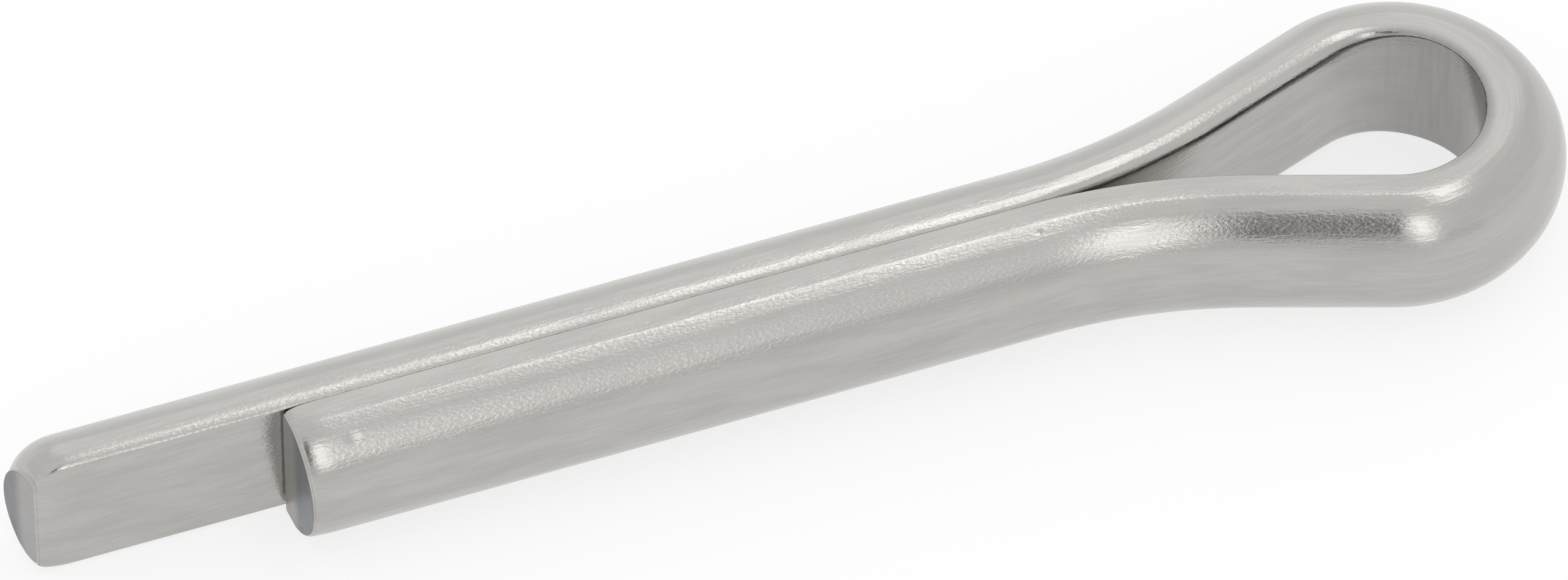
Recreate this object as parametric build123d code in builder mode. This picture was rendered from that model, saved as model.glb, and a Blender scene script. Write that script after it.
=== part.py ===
"""Cotter pin: one half-round wire folded flat to flat into an eye and two unequal legs.

Units are millimetres. The origin is on the axis of the closed shank, where the neck
begins to open towards the eye. +X runs along the pin to the eye, so both legs point
along -X. +Y is the side of the long leg. +Z is the axis of the eye.
"""
from build123d import *
from math import cos, radians, sin, sqrt
import os

# Closed shank: two half-round legs, flat to flat
shank_diameter = 3.8  # across the two crowns
side_flat_depth = 0.1  # how much rolling takes off the round on each side of the wire
flat_corner_radius = 0.2  # where the inner flat meets the sides
leg_gap = 0.03  # between the two inner flats

# Legs, as straight lengths of the inner flat
long_leg_length = 23.75
short_leg_length = 17.9

# Neck and eye, measured on the inner flat
neck_bend_radius = 15.5
neck_angle = 19.5  # degrees between the shank and each flank of the eye
eye_inner_radius = 2.1

# Sheared ends: the blade drags the round down over the last stretch of each leg
long_end_roll_length = 0.8
long_end_roll_drop = 0.5
short_end_roll_length = 0.8
short_end_roll_drop = 0.2
end_flat_drop = 0.06  # the inner flat rises less
long_end_slant = 10.0  # degrees from square
short_end_slant = 4.0
end_roll_steps = 8

shank_radius = shank_diameter / 2
half_gap = leg_gap / 2
half_width = shank_radius - side_flat_depth

# Each flank is as long as it takes to leave the neck bend and meet the eye in line
neck_spread = neck_bend_radius * (1 - cos(radians(neck_angle)))
flank_rise = eye_inner_radius * cos(radians(neck_angle)) - half_gap - neck_spread
flank_length = flank_rise / sin(radians(neck_angle))

# The wire is drawn from the long end's roll on +Y, round the eye, to the short end's on -Y
LONG_SIDE = 1
SHORT_SIDE = -1
long_roll_x = long_end_roll_length - long_leg_length
short_roll_x = short_end_roll_length - short_leg_length


def leg_plane(x, side, slant=0.0):
    """Plane across a leg at x: its X points up and its Y from the inner flat to the crown."""
    normal = Vector(-side * cos(radians(slant)), -side * sin(radians(slant)), 0)
    return Plane(origin=(x, side * half_gap, 0), x_dir=(0, 0, 1), z_dir=normal)


def wire_section(plane, round_drop=0.0, flat_drop=0.0):
    """Section of the wire, with its round and sides drawn in by one drop, its flat by another."""
    radius = shank_radius - round_drop
    side = half_width - round_drop
    shoulder = sqrt(radius**2 - side**2) - half_gap
    with BuildSketch(plane) as section:
        with BuildLine():
            flat = Line((-side, flat_drop), (side, flat_drop))
            Line(flat @ 1, (side, shoulder))
            ThreePointArc((side, shoulder), (0, radius - half_gap), (-side, shoulder))
            Line((-side, shoulder), flat @ 0)
        make_face()
        fillet(section.vertices().group_by(Axis.Y)[0], flat_corner_radius)
    return section.sketch


def end_sections(start_x, side, length, drop, slant):
    """Sections of a sheared end: a quarter of an ellipse that leans over by the slant."""
    turns = [radians(90 * step / end_roll_steps) for step in range(end_roll_steps + 1)]
    return [
        wire_section(
            leg_plane(start_x - length * sin(turn), side, slant * (1 - cos(turn))),
            round_drop=drop * (1 - cos(turn)),
            flat_drop=end_flat_drop * (1 - cos(turn)),
        )
        for turn in turns
    ]


long_end = end_sections(
    long_roll_x, LONG_SIDE, long_end_roll_length, long_end_roll_drop, long_end_slant
)
short_end = end_sections(
    short_roll_x, SHORT_SIDE, short_end_roll_length, short_end_roll_drop, short_end_slant
)


with BuildPart() as cotter_pin:
    with BuildLine() as bent_wire:
        long_leg = Line((long_roll_x, half_gap), (0, half_gap))
        long_neck = JernArc(long_leg @ 1, long_leg % 1, neck_bend_radius, neck_angle)
        long_flank = Line(long_neck @ 1, (long_neck @ 1) + (long_neck % 1) * flank_length)
        eye_turn = -180 - 2 * neck_angle
        eye = JernArc(long_flank @ 1, long_flank % 1, eye_inner_radius, eye_turn)
        short_flank = Line(eye @ 1, (eye @ 1) + (eye % 1) * flank_length)
        short_neck = JernArc(short_flank @ 1, short_flank % 1, neck_bend_radius, neck_angle)
        Line(short_neck @ 1, (short_roll_x, -half_gap))
    sweep(sections=wire_section(leg_plane(long_roll_x, LONG_SIDE)), path=bent_wire.wire())
    loft(sections=long_end)
    loft(sections=short_end)

cotter_pin.part.label = "cotter_pin"
os.makedirs("parts", exist_ok=True)
export_step(cotter_pin.part, "parts/cotter_pin.step")
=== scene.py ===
"""The looks of a cotter pin: satin drawn stainless wire lying on a pale table in a small studio."""

from __future__ import annotations

import logging
import math
from dataclasses import dataclass, field
from enum import Enum
from typing import Any, Union

import bmesh
import bpy
from mathutils import Matrix, Vector

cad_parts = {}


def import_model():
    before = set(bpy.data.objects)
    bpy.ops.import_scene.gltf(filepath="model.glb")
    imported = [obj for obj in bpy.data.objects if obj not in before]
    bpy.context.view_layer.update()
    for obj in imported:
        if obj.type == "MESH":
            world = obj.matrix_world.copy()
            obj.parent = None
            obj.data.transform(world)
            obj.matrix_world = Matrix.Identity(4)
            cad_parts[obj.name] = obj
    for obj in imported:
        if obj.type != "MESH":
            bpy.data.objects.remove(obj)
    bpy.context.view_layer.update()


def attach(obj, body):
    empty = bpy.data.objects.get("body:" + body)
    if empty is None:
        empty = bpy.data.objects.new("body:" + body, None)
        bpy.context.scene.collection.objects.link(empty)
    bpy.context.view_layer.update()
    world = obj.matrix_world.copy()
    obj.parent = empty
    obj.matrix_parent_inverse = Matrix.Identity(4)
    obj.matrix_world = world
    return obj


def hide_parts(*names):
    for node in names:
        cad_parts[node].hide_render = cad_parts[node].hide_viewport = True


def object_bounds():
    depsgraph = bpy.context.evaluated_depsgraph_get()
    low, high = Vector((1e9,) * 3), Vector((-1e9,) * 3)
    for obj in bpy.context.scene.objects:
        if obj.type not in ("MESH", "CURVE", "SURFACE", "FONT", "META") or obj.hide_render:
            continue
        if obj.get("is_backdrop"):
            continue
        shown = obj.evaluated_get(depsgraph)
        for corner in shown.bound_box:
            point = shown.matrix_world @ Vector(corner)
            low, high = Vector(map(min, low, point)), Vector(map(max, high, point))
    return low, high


log = logging.getLogger("cotter_pin")

MM = 0.001  # the meshes are drawn in millimetres and finished in metres
CLOSE = 1e-5  # mm between points that count as one
UP = Vector((0, 0, 1))
ALONG = Vector((1, 0, 0))
MIX_FIRST, MIX_SECOND, MIX_RESULT = 6, 7, 2  # the colour sockets of a Mix node


class Leg(Enum):
    """The two legs of the pin, by the side of the shank that each lies on."""

    LONG = 1
    SHORT = -1


class Layer(Enum):
    """What the mesh tells the material about each of its points."""

    PLACE = "wire_place"  # where the point was on the straight wire, in mm
    SHEARED = "sheared"  # 1 on a cut face and 0 on the drawn surface


@dataclass
class ShearedEnd:
    """One cut end of the wire, where the blade dragged the round down.

    Args:
        leg: which leg it ends.
        length: the leg's straight length on its inner flat, to the tip.
        roll_length: how far back from the tip the round starts to drop.
        roll_drop: how far the round has dropped at the tip.
        side_drop: how far the sides have drawn in at the tip.
        sag: how far the whole tip is pushed down.
        slant: how far the cut leans from square, in degrees.
        lip_height: where the cut breaks from its burnished to its torn half, from the flat.
        lip_set_back: how far the torn half falls back from the break to the flat.
        flat_drop: how far the inner flat has drawn in at the tip.
        steps: how many rings the roll takes.
        rim_radius: how round the rim of the cut is.
        rim_steps: how many rings the rim takes.
    """

    leg: Leg
    length: float
    roll_length: float
    roll_drop: float
    side_drop: float
    sag: float
    slant: float
    lip_height: float
    lip_set_back: float = 0.0
    flat_drop: float = 0.06
    steps: int = 12
    rim_radius: float = 0.05
    rim_steps: int = 3

    def roll(self, step: int) -> tuple[float, float]:
        """How far a step is along the roll, and its share of the drop."""
        turn = math.radians(90 * step / self.steps)
        return math.sin(turn), 1 - math.cos(turn)

    @property
    def roll_x(self) -> float:
        """Where the roll starts along the pin."""
        return self.roll_length - self.length


@dataclass
class WireSection:
    """The half-round wire: a round rolled flat inside and a little on both sides.

    Args:
        round_radius: the radius of the round.
        half_width: from the middle to each rolled side.
        half_gap: from the middle plane between the legs to the inner flat.
        corner_radius: the radius of the flat's corners.
        round_segments: how many edges a full round takes.
        corner_segments: how many edges a corner takes.
        flat_cuts: how many points divide the flat.
        side_cuts: how many points divide each rolled side.
        shoulder_passes: how often the shoulders are smoothed.
        shoulder_height: how far over and under a shoulder the smoothing reaches.
        shoulder_depth: how far in from the sides it reaches.
    """

    round_radius: float = 1.8998
    half_width: float = 1.7998
    half_gap: float = 0.015
    corner_radius: float = 0.56  # as first drawn
    round_segments: int = 144
    corner_segments: int = 9
    flat_cuts: int = 11
    side_cuts: int = 2
    shoulder_passes: int = 6
    shoulder_height: float = 0.3
    shoulder_depth: float = 0.2

    @property
    def thickness(self) -> float:
        """From the inner flat to the crown."""
        return self.round_radius - self.half_gap

    def draw(self, mesh: bmesh.types.BMesh, x: float) -> list[bmesh.types.BMEdge]:
        """Draw the section of the long leg as a ring of edges.

        Args:
            mesh: the mesh to draw in.
            x: how far along the pin.

        Returns:
            The edges of the ring.
        """
        across = Matrix.Translation((x, 0, 0)) @ Matrix.Rotation(math.radians(90), 4, "Y")
        bmesh.ops.create_circle(
            mesh, cap_ends=True, segments=self.round_segments, radius=self.round_radius, matrix=across
        )
        self._trim(mesh, Vector((x, self.half_gap, 0)), Vector((0, -1, 0)))
        self._trim(mesh, Vector((x, 0, self.half_width)), UP)
        self._trim(mesh, Vector((x, 0, -self.half_width)), -UP)
        at_flat = self.half_gap + CLOSE
        corners = [v for v in mesh.verts if v.co.y < at_flat]
        bmesh.ops.bevel(
            mesh,
            geom=corners,
            offset=self.corner_radius,
            offset_type="OFFSET",
            segments=self.corner_segments,
            profile=0.5,
            affect="VERTICES",
            material=-1,
        )
        bmesh.ops.delete(mesh, geom=mesh.faces[:], context="FACES_ONLY")
        flat = [e for e in mesh.edges if all(v.co.y < at_flat for v in e.verts)]
        bmesh.ops.subdivide_edges(mesh, edges=flat, cuts=self.flat_cuts)
        at_side = self.half_width - CLOSE
        sides = [e for e in mesh.edges if all(abs(v.co.z) > at_side for v in e.verts)]
        bmesh.ops.subdivide_edges(mesh, edges=sides, cuts=self.side_cuts)
        self._soften_shoulders(mesh)
        return mesh.edges[:]

    @staticmethod
    def _trim(mesh: bmesh.types.BMesh, point: Vector, outward: Vector) -> None:
        """Cut off what lies past a plane."""
        bmesh.ops.bisect_plane(
            mesh,
            geom=mesh.verts[:] + mesh.edges[:] + mesh.faces[:],
            dist=CLOSE / 10,
            plane_co=point,
            plane_no=outward,
            clear_outer=True,
        )

    def _soften_shoulders(self, mesh: bmesh.types.BMesh) -> None:
        """Ease the line where each rolled side meets the round."""
        height = math.sqrt(self.round_radius**2 - self.half_width**2)
        inner = self.half_width - self.shoulder_depth
        shoulders = [
            v
            for v in mesh.verts
            if abs(v.co.y - height) < self.shoulder_height and abs(v.co.z) > inner
        ]
        for _ in range(self.shoulder_passes):
            bmesh.ops.smooth_vert(
                mesh, verts=shoulders, factor=0.5, use_axis_x=True, use_axis_y=True, use_axis_z=True
            )


@dataclass(frozen=True)
class Dent:
    """A small knock in the drawn surface.

    Args:
        centre: its middle, on the surface.
        radius: how far it reaches.
        depth: how deep it is in the middle.
        margin: how far round it the mesh is divided finer, in radii.
        cuts: how finely the mesh is divided there.
    """

    centre: tuple[float, float, float]
    radius: float
    depth: float
    margin: float = 1.6
    cuts: int = 5

    def press(self, mesh: bmesh.types.BMesh) -> None:
        """Press the dent into the mesh.

        Args:
            mesh: the wire, with its normals up to date.
        """
        centre = Vector(self.centre)
        reach = self.radius * self.margin
        near = [f for f in mesh.faces if self._gap(f, centre) < reach]
        edges = {e for f in near for e in f.edges}
        bmesh.ops.subdivide_edges(mesh, edges=list(edges), cuts=self.cuts, use_grid_fill=True)
        mesh.normal_update()
        inside = [v for v in mesh.verts if (v.co - centre).length < self.radius]
        moves = {}
        for vert in inside:
            share = 1 - ((vert.co - centre).length / self.radius) ** 2
            moves[vert] = vert.normal * (-self.depth * share * share)
        for vert, move in moves.items():
            vert.co += move

    @staticmethod
    def _gap(face: bmesh.types.BMFace, centre: Vector) -> float:
        """How far a face's nearest corner or middle is from the dent."""
        places = [v.co for v in face.verts] + [face.calc_center_median()]
        return min((place - centre).length for place in places)


@dataclass
class CotterPin:
    """The bent wire, drawn from the long leg's tip round the eye to the short leg's.

    Args:
        section: the wire's section.
        long_end: the long leg's cut end.
        short_end: the short leg's cut end.
        dents: the knocks in the surface.
        corners: places along the wire from the short tip to the long one, with how far the
            corners of the flat reach over it and in from the sides there.
        neck_radius: the radius of each neck's bend, on the inner flat.
        neck_angle: how far each side turns away from the legs.
        eye_radius: the radius of the eye's hole.
        leg_step: how long one step along a leg is.
        neck_steps: how many steps a neck's bend takes.
        flank_steps: how many steps a flank takes.
        eye_steps: how many steps the eye takes.
        middle_share: where the cut's middle is over the flat, as a share of the thickness.
        inset: how far the cut's last ring is drawn in, as a share of the one before.
    """

    section: WireSection = field(default_factory=WireSection)
    long_end: ShearedEnd = field(
        default_factory=lambda: ShearedEnd(
            leg=Leg.LONG,
            length=23.60,
            roll_length=0.8,
            roll_drop=0.5,
            side_drop=0.32,
            sag=0.12,
            slant=10.0,
            lip_height=0.75,
            lip_set_back=0.05,
            rim_radius=0.1,
        )
    )
    short_end: ShearedEnd = field(
        default_factory=lambda: ShearedEnd(
            leg=Leg.SHORT,
            length=17.75,
            roll_length=0.8,
            roll_drop=0.10,
            side_drop=0.06,
            sag=0.04,
            slant=4.0,
            lip_height=0.7,
        )
    )
    dents: tuple[Dent, ...] = (
        Dent((0.01, -0.82, 1.71), 0.08, 0.014),
        Dent((-16.5, -1.13, 1.53), 0.22, 0.009),
    )
    corners: tuple[tuple[float, float, float], ...] = (
        (-40.0, 0.07, 0.07),
        (1.5, 0.07, 0.07),
        (4.5, 0.42, 0.42),
        (9.0, 0.42, 0.42),
        (14.0, 0.50, 0.17),
        (28.0, 0.54, 0.15),
        (36.0, 0.36, 0.17),
    )
    neck_radius: float = 15.5
    neck_angle: float = math.radians(19.5)
    eye_radius: float = 2.1
    leg_step: float = 0.4
    neck_steps: int = 22
    flank_steps: int = 10
    eye_steps: int = 84
    middle_share: float = 0.42
    inset: float = 0.97

    @property
    def flank_start(self) -> Vector:
        """Where the long side's neck bend ends, on its inner flat."""
        turn = self.neck_angle
        spread = self.neck_radius * (1 - math.cos(turn))
        return Vector((self.neck_radius * math.sin(turn), self.section.half_gap + spread, 0))

    @property
    def flank_length(self) -> float:
        """The straight stretch between the neck's bend and the eye."""
        rise = self.eye_radius * math.cos(self.neck_angle) - self.flank_start.y
        return rise / math.sin(self.neck_angle)

    @property
    def eye_x(self) -> float:
        """The centre of the eye along the pin."""
        sine, cosine = math.sin(self.neck_angle), math.cos(self.neck_angle)
        return self.flank_start.x + self.flank_length * cosine + self.eye_radius * sine

    @property
    def half_length(self) -> float:
        """From the start of the neck to the far end of the eye, on the inner flat."""
        quarter = self.eye_radius * (math.pi / 2 + self.neck_angle)
        return self.neck_radius * self.neck_angle + self.flank_length + quarter

    def build(self) -> bpy.types.Object:
        """Build the pin's mesh.

        Returns:
            The pin, in metres, in the frame's own place.
        """
        mesh = bmesh.new()
        sheared = mesh.verts.layers.float.new(Layer.SHEARED.value)
        place = mesh.verts.layers.float_vector.new(Layer.PLACE.value)
        first = self.section.draw(mesh, self.long_end.roll_x)
        last = self._bend_wire(mesh, first)
        self._tighten_corners(mesh)
        self._roll_end(mesh, first, self.long_end, sheared)
        self._roll_end(mesh, last, self.short_end, sheared)
        bmesh.ops.remove_doubles(mesh, verts=mesh.verts[:], dist=CLOSE)
        bmesh.ops.recalc_face_normals(mesh, faces=mesh.faces[:])
        for dent in self.dents:
            dent.press(mesh)
        for vert in mesh.verts:
            vert[place] = self.unbend(vert.co)
        bmesh.ops.scale(mesh, vec=(MM, MM, MM), verts=mesh.verts[:])
        for face in mesh.faces:
            face.smooth = True
        data = bpy.data.meshes.new("cotter_pin_wire")
        mesh.to_mesh(data)
        mesh.free()
        pin = bpy.data.objects.new("cotter_pin_wire", data)
        bpy.context.scene.collection.objects.link(pin)
        return pin

    def unbend(self, point: Vector) -> Vector:
        """Find where a point was on the straight wire.

        Args:
            point: a point of the bent wire, in millimetres.

        Returns:
            Along the wire from the eye's end, height over the inner flat, and across the wire.
        """
        side = 1 if point.y >= 0 else -1
        x, y = point.x, abs(point.y)
        start, turn = self.flank_start, self.neck_angle
        sine, cosine = math.sin(turn), math.cos(turn)
        run = (x - start.x) * cosine + (y - start.y) * sine
        to_neck = self.section.half_gap + self.neck_radius - y
        if x < 0:
            station, height = x, y - self.section.half_gap
        elif math.atan2(x, to_neck) < turn:
            station = self.neck_radius * math.atan2(x, to_neck)
            height = self.neck_radius - math.hypot(x, to_neck)
        elif run < self.flank_length:
            station = self.neck_radius * turn + run
            height = (y - start.y) * cosine - (x - start.x) * sine
        else:
            station = self.half_length - self.eye_radius * math.atan2(y, x - self.eye_x)
            height = math.hypot(y, x - self.eye_x) - self.eye_radius
        return Vector((side * (self.half_length - station), height, point.z))

    def _bend_wire(
        self, mesh: bmesh.types.BMesh, ring: list[bmesh.types.BMEdge]
    ) -> list[bmesh.types.BMEdge]:
        """Draw the ring along both legs, both necks and the eye.

        Args:
            mesh: the mesh to draw in.
            ring: the section where the long end's roll starts.

        Returns:
            The section where the short end's roll starts.
        """
        angle = self.neck_angle
        out = Vector((math.cos(angle), math.sin(angle), 0))
        back = Vector((-math.cos(angle), math.sin(angle), 0))
        neck_y = self.section.half_gap + self.neck_radius
        ring = self._run(mesh, ring, ALONG * -self.long_end.roll_x, self._leg_steps(self.long_end))
        ring = self._bend(mesh, ring, Vector((0, neck_y, 0)), angle, self.neck_steps)
        ring = self._run(mesh, ring, out * self.flank_length, self.flank_steps)
        eye = Vector((self.eye_x, 0, 0))
        ring = self._bend(mesh, ring, eye, -math.pi - 2 * angle, self.eye_steps)
        ring = self._run(mesh, ring, back * self.flank_length, self.flank_steps)
        ring = self._bend(mesh, ring, Vector((0, -neck_y, 0)), angle, self.neck_steps)
        return self._run(
            mesh, ring, ALONG * self.short_end.roll_x, self._leg_steps(self.short_end)
        )

    def _corner_at(self, along: float) -> tuple[float, float]:
        """Find how far the corners reach over the flat and in from the sides at a place."""
        for (start, *first), (end, *second) in zip(self.corners, self.corners[1:]):
            if along <= end:
                step = (along - start) / (end - start)
                share = step * step * (3 - 2 * step)
                over, beside = (low + (high - low) * share for low, high in zip(first, second))
                return over, beside
        return self.corners[-1][1:]

    def _tighten_corners(self, mesh: bmesh.types.BMesh) -> None:
        """Give the corners of the flat their own roundness at each place along the wire."""
        loose, half_width = self.section.corner_radius, self.section.half_width
        for vert in mesh.verts:
            along, height, across = self.unbend(vert.co)
            over, beside = height - loose, abs(across) - half_width + loose
            if over > 1e-4 or beside < -1e-4:
                continue
            tall, wide = self._corner_at(along)
            move = (tall + over * tall / loose - height) * self._outward(vert.co)
            move.z = math.copysign(half_width - wide + beside * wide / loose, across) - across
            vert.co += move

    def _outward(self, point: Vector) -> Vector:
        """Find which way the wire's height grows at a point."""
        step = 1e-3
        here = self.unbend(point).y
        slope_x = self.unbend(point + Vector((step, 0, 0))).y - here
        slope_y = self.unbend(point + Vector((0, step, 0))).y - here
        return Vector((slope_x, slope_y, 0)).normalized()

    def _leg_steps(self, end: ShearedEnd) -> int:
        """How many steps a leg's straight run takes."""
        return round(-end.roll_x / self.leg_step)

    @staticmethod
    def _run(
        mesh: bmesh.types.BMesh, ring: list[bmesh.types.BMEdge], move: Vector, steps: int
    ) -> list[bmesh.types.BMEdge]:
        """Draw a ring along a straight line and return the ring at its end."""
        verts = list({v for e in ring for v in e.verts})
        made = bmesh.ops.spin(
            mesh, geom=verts + ring, axis=UP, dvec=move / steps, angle=0.0, steps=steps
        )
        return [g for g in made["geom_last"] if isinstance(g, bmesh.types.BMEdge)]

    @staticmethod
    def _bend(
        mesh: bmesh.types.BMesh,
        ring: list[bmesh.types.BMEdge],
        centre: Vector,
        angle: float,
        steps: int,
    ) -> list[bmesh.types.BMEdge]:
        """Draw a ring round a centre and return the ring at its end."""
        verts = list({v for e in ring for v in e.verts})
        made = bmesh.ops.spin(
            mesh, geom=verts + ring, cent=centre, axis=UP, angle=angle, steps=steps
        )
        return [g for g in made["geom_last"] if isinstance(g, bmesh.types.BMEdge)]

    @staticmethod
    def _grow(
        mesh: bmesh.types.BMesh, ring: list[bmesh.types.BMEdge]
    ) -> tuple[list[bmesh.types.BMEdge], list[bmesh.types.BMVert]]:
        """Add a ring on a ring, in the same place, and return its edges and points."""
        made = bmesh.ops.extrude_edge_only(mesh, edges=ring)["geom"]
        verts = [g for g in made if isinstance(g, bmesh.types.BMVert)]
        fresh = set(verts)
        edges = [
            g for g in made if isinstance(g, bmesh.types.BMEdge) and set(g.verts) <= fresh
        ]
        return edges, verts

    def _roll_end(
        self,
        mesh: bmesh.types.BMesh,
        ring: list[bmesh.types.BMEdge],
        end: ShearedEnd,
        sheared: Any,
    ) -> None:
        """Roll the round down towards a tip and close it with the sheared face.

        Args:
            mesh: the mesh to draw in.
            ring: the section where the roll starts.
            end: the end to shape.
            sheared: the layer that marks the cut face.
        """
        side = end.leg.value
        thickness, half_width = self.section.thickness, self.section.half_width
        share_was, sine_was = 0.0, 0.0
        verts: list[bmesh.types.BMVert] = []
        for step in range(1, end.steps + 1):
            sine, share = end.roll(step)
            ring, verts = self._grow(mesh, ring)
            bmesh.ops.translate(mesh, vec=ALONG * -end.roll_length * (sine - sine_was), verts=verts)
            drop, drop_was = end.roll_drop * share, end.roll_drop * share_was
            rise, rise_was = end.flat_drop * share, end.flat_drop * share_was
            flat_y = side * (self.section.half_gap + rise_was)
            flat = Vector((end.roll_x - end.roll_length * sine, flat_y, 0))
            lean = Matrix.Rotation(math.radians(end.slant) * (share - share_was), 3, "Z")
            bmesh.ops.rotate(mesh, cent=flat, matrix=lean, verts=verts)
            shrink_y = (thickness - drop - rise) / (thickness - drop_was - rise_was)
            side_in, side_was = end.side_drop * share, end.side_drop * share_was
            shrink_z = (half_width - side_in) / (half_width - side_was)
            flat.z = -end.sag * share_was
            bmesh.ops.scale(
                mesh, vec=(1, shrink_y, shrink_z), verts=verts, space=Matrix.Translation(-flat)
            )
            shift = Vector((0, side * (rise - rise_was), -end.sag * (share - share_was)))
            bmesh.ops.translate(mesh, vec=shift, verts=verts)
            share_was, sine_was = share, sine
        self._set_back_lip(verts, end)
        self._close_end(mesh, ring, end, sheared)

    @staticmethod
    def _set_back_lip(verts: list[bmesh.types.BMVert], end: ShearedEnd) -> None:
        """Let the torn half of the cut fall back towards the flat."""
        for vert in verts:
            below = max(0.0, 1 - abs(vert.co.y) / end.lip_height)
            vert.co.x += end.lip_set_back * below

    def _close_end(
        self,
        mesh: bmesh.types.BMesh,
        ring: list[bmesh.types.BMEdge],
        end: ShearedEnd,
        sheared: Any,
    ) -> None:
        """Round the rim of a cut a little and close the cut.

        Args:
            mesh: the mesh to draw in.
            ring: the last section of the roll.
            end: the end to close.
            sheared: the layer that marks the cut face.
        """
        side = end.leg.value
        middle = Vector((0, side * self.section.thickness * self.middle_share, -end.sag))
        reach = self.section.half_width - end.side_drop
        in_was, out_was = 0.0, 0.0
        for step in range(1, end.rim_steps + 1):
            turn = math.radians(90 * step / end.rim_steps)
            inward, outward = end.rim_radius * (1 - math.cos(turn)), end.rim_radius * math.sin(turn)
            ring, verts = self._grow(mesh, ring)
            shrink = (reach - inward) / (reach - in_was)
            bmesh.ops.scale(
                mesh, vec=(1, shrink, shrink), verts=verts, space=Matrix.Translation(-middle)
            )
            bmesh.ops.translate(mesh, vec=ALONG * -(outward - out_was), verts=verts)
            for vert in verts:
                vert[sheared] = step / end.rim_steps
            in_was, out_was = inward, outward
        ring, verts = self._grow(mesh, ring)
        size = (1, self.inset, self.inset)
        bmesh.ops.scale(mesh, vec=size, verts=verts, space=Matrix.Translation(-middle))
        for vert in verts:
            vert[sheared] = 1.0
        bmesh.ops.contextual_create(mesh, geom=ring)


Number = Union["Flow", float]


@dataclass(frozen=True)
class Flow:
    """One output of a material's node, on which sums are written as plain expressions."""

    board: Board
    socket: bpy.types.NodeSocket

    def __add__(self, other: Number) -> Flow:
        """Add."""
        return self.board.maths("ADD", self, other)

    def __sub__(self, other: Number) -> Flow:
        """Take away."""
        return self.board.maths("SUBTRACT", self, other)

    def __rsub__(self, other: Number) -> Flow:
        """Take this from a number."""
        return self.board.maths("SUBTRACT", other, self)

    def __mul__(self, other: Number) -> Flow:
        """Multiply."""
        return self.board.maths("MULTIPLY", self, other)

    def __truediv__(self, other: Number) -> Flow:
        """Divide."""
        return self.board.maths("DIVIDE", self, other)

    def __rtruediv__(self, other: Number) -> Flow:
        """Divide a number by this."""
        return self.board.maths("DIVIDE", other, self)

    __radd__ = __add__
    __rmul__ = __mul__


@dataclass(frozen=True)
class Board:
    """The nodes of one material or of the world."""

    tree: bpy.types.NodeTree

    def node(
        self, kind: str, settings: dict[str, Any], inputs: dict[Any, Any], output: Any = 0
    ) -> Flow:
        """Add a node.

        Args:
            kind: the node's type.
            settings: its settings, set first.
            inputs: a value or a link for each socket that isn't left as it comes.
            output: which output is wanted.

        Returns:
            The wanted output.
        """
        made = self.tree.nodes.new(kind)
        for name, value in settings.items():
            setattr(made, name, value)
        for name, value in inputs.items():
            if isinstance(value, Flow):
                self.tree.links.new(value.socket, made.inputs[name])
            else:
                made.inputs[name].default_value = value
        return Flow(self, made.outputs[output])

    def maths(self, operation: str, first: Number, second: Number) -> Flow:
        """Work out two numbers."""
        return self.node("ShaderNodeMath", {"operation": operation}, {0: first, 1: second})

    def span(self, value: Flow, low: float, high: float) -> Flow:
        """Stretch a value smoothly from 0 at low to 1 at high."""
        return self.node(
            "ShaderNodeMapRange",
            {"interpolation_type": "SMOOTHSTEP"},
            {"Value": value, "From Min": low, "From Max": high},
        )

    def blend(self, share: Number, first: Any, second: Any) -> Flow:
        """Blend two colours."""
        inputs = {"Factor": share, MIX_FIRST: first, MIX_SECOND: second}
        return self.node("ShaderNodeMix", {"data_type": "RGBA"}, inputs, MIX_RESULT)

    def noise(self, place: Flow, stretch: Stretch, detail: float) -> Flow:
        """Make a noise whose cells are stretched differently along, over and across the wire."""
        scaled = self.node(
            "ShaderNodeVectorMath", {"operation": "MULTIPLY"}, {0: place, 1: stretch}
        )
        inputs = {"Vector": scaled, "Scale": 1.0, "Detail": detail, "Roughness": 0.55}
        return self.node("ShaderNodeTexNoise", {}, inputs)

    def feed(self, node: bpy.types.Node, name: str, value: Any) -> None:
        """Set a socket of a standing node, or link it."""
        if isinstance(value, Flow):
            self.tree.links.new(value.socket, node.inputs[name])
        else:
            node.inputs[name].default_value = value


Colour = tuple[float, float, float, float]
Stretch = tuple[float, float, float]


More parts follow.
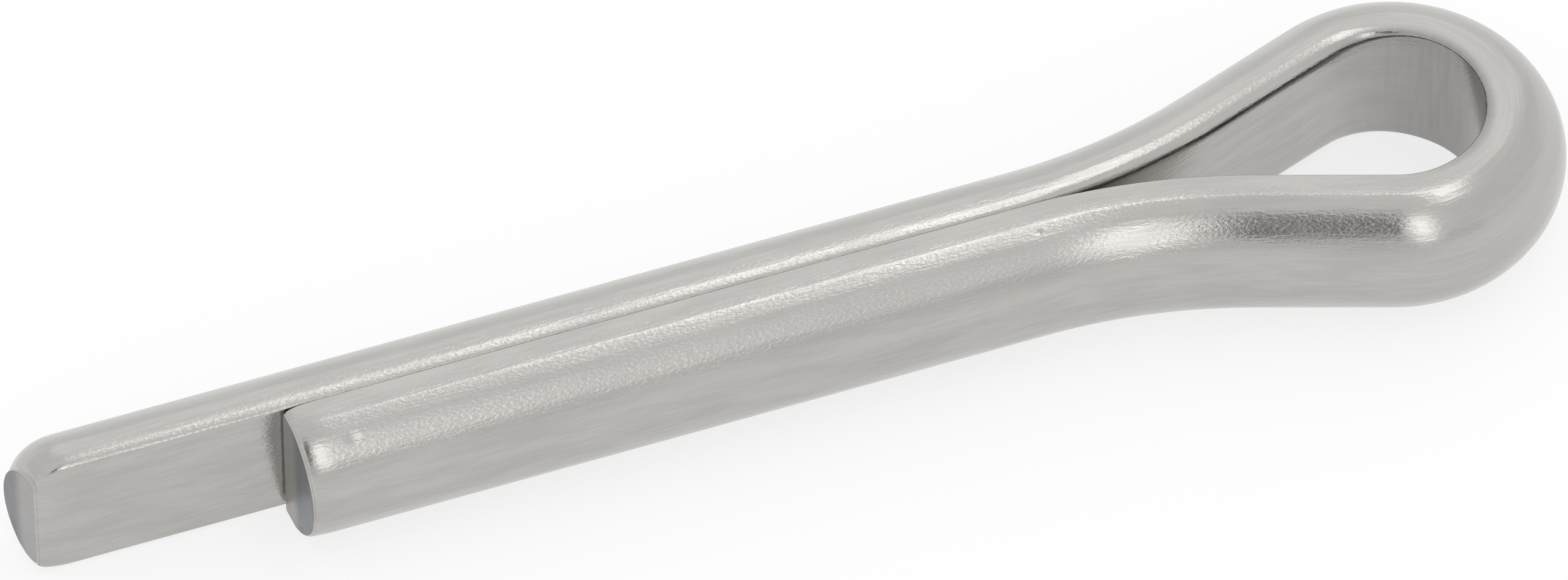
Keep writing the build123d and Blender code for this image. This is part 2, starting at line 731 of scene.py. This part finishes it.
@dataclass(frozen=True)
class SatinSteel:
    """Drawn and tumbled stainless wire, with its grain along the wire, and painted shade on the flat
    inside the eye and on one half of each cut face.

    Args:
        bright: the steel where it is worn smooth.
        dull: the steel where it isn't.
        painted_eye_shade: painted shade on the flat inside the eye, where the hollow is dark.
        torn: the half of a cut face next to the flat.
        burnished_and_shaded: the other half of a cut face, partly the burnished band and partly
            painted shade of the facet turned away, darker and bluer.
        roughness: how rough the smooth steel is.
        roughness_spread: how much rougher the dull steel is.
        cut_roughness: how rough a cut face is.
        burnish_line: how far over the flat a cut's torn half ends, in mm.
        line_fade: how far under and over that line the two halves blend, in mm.
        grain_depth: how deep the grain is, in mm.
        grain: how many streaks there are to a mm, along, over and across the wire.
        fine: the same for the fine scratches.
        clouds: the same for the worn patches.
        creases: the same for the creases across the flat inside the eye, which also break up the
            painted shade there.
        worn: where the patches turn from dull to bright.
        eye_ends: how far from the eye's end the painted shade on the flat starts and is full, in mm.
        eye_skin: how far over the flat it starts and is full, in mm.
    """

    bright: Colour = (0.500, 0.488, 0.466, 1)
    dull: Colour = (0.452, 0.442, 0.424, 1)
    # painted shade for the flat inside the eye
    painted_eye_shade: Colour = (0.31, 0.305, 0.30, 1)
    torn: Colour = (0.39, 0.38, 0.37, 1)
    # partly the burnished band, partly painted shade of the cut's facet turned away
    burnished_and_shaded: Colour = (0.225, 0.23, 0.245, 1)
    roughness: float = 0.15
    roughness_spread: float = 0.06
    cut_roughness: float = 0.38
    burnish_line: float = 0.75
    line_fade: tuple[float, float] = (0.25, 0.2)
    grain_depth: float = 0.008
    grain: Stretch = (0.9, 14.0, 14.0)
    fine: Stretch = (9.0, 20.0, 20.0)
    clouds: Stretch = (0.45, 2.2, 2.2)
    creases: Stretch = (7.0, 1.0, 0.6)
    worn: tuple[float, float] = (0.36, 0.64)
    eye_ends: tuple[float, float] = (5.0, 1.0)
    eye_skin: tuple[float, float] = (0.3, 0.05)

    def material(self) -> bpy.types.Material:
        """Make the wire's material.

        Returns:
            The material, painted on the straight wire.
        """
        made = bpy.data.materials.new("satin_steel")
        made.use_nodes = True
        board = Board(made.node_tree)
        place = board.node(
            "ShaderNodeAttribute", {"attribute_name": Layer.PLACE.value}, {}, "Vector"
        )
        sheared = board.node(
            "ShaderNodeAttribute", {"attribute_name": Layer.SHEARED.value}, {}, "Fac"
        )
        grain = board.noise(place, self.grain, 3.0)
        fine = board.noise(place, self.fine, 3.0)
        clouds = board.noise(place, self.clouds, 4.0)
        worn = board.span(clouds * 0.65 + grain * 0.35, *self.worn)
        along = board.node("ShaderNodeSeparateXYZ", {}, {0: place}, 0)
        over = board.node("ShaderNodeSeparateXYZ", {}, {0: place}, 1)
        from_end = board.maths("ABSOLUTE", along, 0.0)
        # painted shade on the flat inside the eye: full at the eye's end and on the flat, broken up
        # by the creases
        eye_shade_mask = board.span(from_end, *self.eye_ends) * board.span(over, *self.eye_skin)
        creased = board.noise(place, self.creases, 3.0)
        drawn = board.blend(worn, self.dull, self.bright)
        drawn = board.blend(eye_shade_mask * (0.6 + creased * 0.6), drawn, self.painted_eye_shade)
        cut = board.span(sheared, 0.5, 0.95)
        under, above = self.line_fade
        halves = board.span(over, self.burnish_line - under, self.burnish_line + above)
        # the cut's two halves: the torn half, and a darker, bluer half that is partly the burnished
        # band and partly painted shade
        face = board.blend(halves, self.torn, self.burnished_and_shaded)
        shader = made.node_tree.nodes["Principled BSDF"]
        board.feed(shader, "Base Color", board.blend(cut, drawn, face))
        board.feed(shader, "Metallic", 1.0)
        satin = self.roughness + (1 - worn) * self.roughness_spread
        board.feed(shader, "Roughness", satin + cut * (self.cut_roughness - self.roughness))
        height = grain * 0.5 + fine * 0.6 + clouds * 0.6
        relief = {"Strength": 1.0, "Distance": self.grain_depth * MM, "Height": height}
        board.feed(shader, "Normal", board.node("ShaderNodeBump", {}, relief))
        return made


Direction = tuple[float, float, float]


def face_pin(piece: bpy.types.Object, toward: Direction, distance: float, front: str) -> None:
    """Stand a piece of the studio so that it faces the pin, out of the camera's sight.

    Args:
        piece: the lamp or card.
        toward: its direction from the pin.
        distance: its distance from the pin, in mm.
        front: the axis of the piece that looks at the pin.
    """
    line = Vector(toward).normalized()
    piece.location = line * distance * MM
    piece.rotation_mode = "QUATERNION"
    piece.rotation_quaternion = (-line).to_track_quat(front, "Y")
    piece.visible_camera = False
    bpy.context.scene.collection.objects.link(piece)


@dataclass(frozen=True)
class Softbox:
    """A soft lamp that faces the pin.

    Args:
        name: what it is called.
        toward: its direction from the pin.
        width: its width at its distance, in mm.
        height: its height, in mm.
        glow: how bright its face looks, where the white room is 1.
        distance: how far off it hangs, in mm.
    """

    name: str
    toward: Direction
    width: float
    height: float
    glow: float
    distance: float = 700.0

    def build(self) -> None:
        """Hang the lamp."""
        data = bpy.data.lights.new(self.name, "AREA")
        data.shape = "RECTANGLE"
        data.size = self.width * MM
        data.size_y = self.height * MM
        data.energy = self.glow * math.pi * data.size * data.size_y
        face_pin(bpy.data.objects.new(self.name, data), self.toward, self.distance, "-Z")


@dataclass(frozen=True)
class Card:
    """A grey card that darkens part of what the steel mirrors.

    Args:
        name: what it is called.
        toward: its direction from the pin.
        width: its width at its distance, in mm.
        height: its height, in mm.
        glow: how bright it looks, where the white room is 1.
        distance: how far off it stands, in mm.
    """

    name: str
    toward: Direction
    width: float
    height: float
    glow: float
    distance: float = 720.0

    def build(self) -> None:
        """Stand the card up."""
        mesh = bmesh.new()
        bmesh.ops.create_grid(mesh, x_segments=1, y_segments=1, size=0.5 * MM)
        bmesh.ops.scale(mesh, vec=(self.width, self.height, 1), verts=mesh.verts[:])
        data = bpy.data.meshes.new(self.name)
        mesh.to_mesh(data)
        mesh.free()
        card = bpy.data.objects.new(self.name, data)
        face_pin(card, self.toward, self.distance, "Z")
        card.visible_diffuse = False
        card.visible_shadow = False
        made = bpy.data.materials.new(self.name)
        made.use_nodes = True
        board = Board(made.node_tree)
        glow = board.node("ShaderNodeEmission", {}, {"Strength": self.glow})
        board.feed(made.node_tree.nodes["Material Output"], "Surface", glow)
        data.materials.append(made)
        card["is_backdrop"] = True


def heading(azimuth: float, elevation: float) -> Direction:
    """Turn an azimuth from -Y towards +X and an elevation, in degrees, into a direction."""
    turn, rise = math.radians(azimuth), math.radians(elevation)
    return (math.sin(turn) * math.cos(rise), -math.cos(turn) * math.cos(rise), math.sin(rise))


@dataclass
class Studio:
    """The table, the soft lamps and the camera.

    Args:
        azimuth: the camera's direction from -Y towards +X, in degrees.
        elevation: how high the camera looks down from, in degrees.
        lens: its focal length, in mm.
        distance: how far it is from its aim, in mm.
        aim: the middle of the pin.
        aim_right: how far right of that it aims, in mm.
        aim_up: how far up from that it aims, in mm.
        room: how bright the white room is.
        table_white: how much of the table glows by itself.
        table_shade: the rest of the table's grey.
        softboxes: the lamps.
        cards: the grey cards.
    """

    azimuth: float = -19.61
    elevation: float = 50.29
    lens: float = 400.0
    distance: float = 394.75
    aim: Vector = field(default_factory=lambda: Vector((-6.0, 0, 0)))
    aim_right: float = 0.160
    aim_up: float = 0.742
    room: float = 0.95
    table_white: float = 0.75
    table_shade: Colour = (0.97, 0.97, 0.97, 1)
    softboxes: tuple[Softbox, ...] = (
        Softbox("strip_lamp", (0.29, 0.05, 0.955), 460.0, 133.0, 1.3),
        Softbox("front_lamp", heading(2.5, 40.0), 140.0, 500.0, 1.1),
        Softbox("back_lamp", heading(150.0, 36.0), 760.0, 620.0, 0.2),
    )
    cards: tuple[Card, ...] = (
        Card("lens_shade", heading(-21.5, 47.0), 165.0, 440.0, 0.15),
        Card("table_edge", heading(5.0, 21.0), 900.0, 45.0, 0.5),
    )

    def build(self) -> None:
        """Set up the whole studio."""
        self._camera()
        self._table()
        self._world()
        for piece in self.softboxes + self.cards:
            piece.build()

    def _camera(self) -> None:
        """Put the camera at its angle, aimed at the middle of the pin."""
        back = Vector(heading(self.azimuth, self.elevation))
        turn = math.radians(self.azimuth)
        right = Vector((math.cos(turn), math.sin(turn), 0))
        up = back.cross(right)
        data = bpy.data.cameras.new("camera")
        data.lens = self.lens
        data.clip_start = 0.01
        camera = bpy.data.objects.new("camera", data)
        aim = self.aim + right * self.aim_right + up * self.aim_up
        camera.location = (aim + back * self.distance) * MM
        camera.rotation_mode = "QUATERNION"
        camera.rotation_quaternion = (-back).to_track_quat("-Z", "Y")
        bpy.context.scene.collection.objects.link(camera)
        bpy.context.scene.camera = camera

    def _table(self) -> None:
        """Lay the pale table under the pin."""
        low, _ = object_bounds()
        mesh = bmesh.new()
        bmesh.ops.create_grid(mesh, x_segments=1, y_segments=1, size=3.0)
        bmesh.ops.translate(mesh, vec=(0, 0, low.z), verts=mesh.verts[:])
        data = bpy.data.meshes.new("table")
        mesh.to_mesh(data)
        mesh.free()
        table = bpy.data.objects.new("table", data)
        bpy.context.scene.collection.objects.link(table)
        made = bpy.data.materials.new("table")
        made.use_nodes = True
        board = Board(made.node_tree)
        shader = made.node_tree.nodes["Principled BSDF"]
        board.feed(shader, "Base Color", self.table_shade)
        board.feed(shader, "Roughness", 0.9)
        top = Flow(board, shader.outputs[0])
        share = self._seen(board) * self.table_white
        glow = board.node("ShaderNodeEmission", {}, {"Strength": 1.0})
        mixed = board.node("ShaderNodeMixShader", {}, {0: share, 1: top, 2: glow})
        board.feed(made.node_tree.nodes["Material Output"], "Surface", mixed)
        data.materials.append(made)
        table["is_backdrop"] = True

    @staticmethod
    def _seen(board: Board) -> Flow:
        """Give 1 where the camera sees a surface, straight or in the steel."""
        rays = ("Is Camera Ray", "Is Glossy Ray", "Is Transmission Ray")
        seen = [board.node("ShaderNodeLightPath", {}, {}, ray) for ray in rays]
        return board.maths("MINIMUM", seen[0] + seen[1] + seen[2], 1.0)

    def _world(self) -> None:
        """Light the studio evenly from all round."""
        world = bpy.data.worlds.new("studio")
        world.use_nodes = True
        board = Board(world.node_tree)
        backdrop = world.node_tree.nodes["Background"]
        board.feed(backdrop, "Color", (1, 1, 1, 1))
        board.feed(backdrop, "Strength", self.room)
        bpy.context.scene.world = world


def main() -> None:
    """Build the pin and its studio round the frame."""
    logging.basicConfig(level=logging.INFO, format="%(name)s: %(message)s")
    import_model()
    pin = CotterPin().build()
    pin.data.materials.append(SatinSteel().material())
    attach(pin, "root")
    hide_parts("cotter_pin")
    log.info("%s: %d faces", pin.name, len(pin.data.polygons))
    Studio().build()
    bpy.context.scene.view_settings.view_transform = "Standard"


if __name__ == "__main__":
    main()
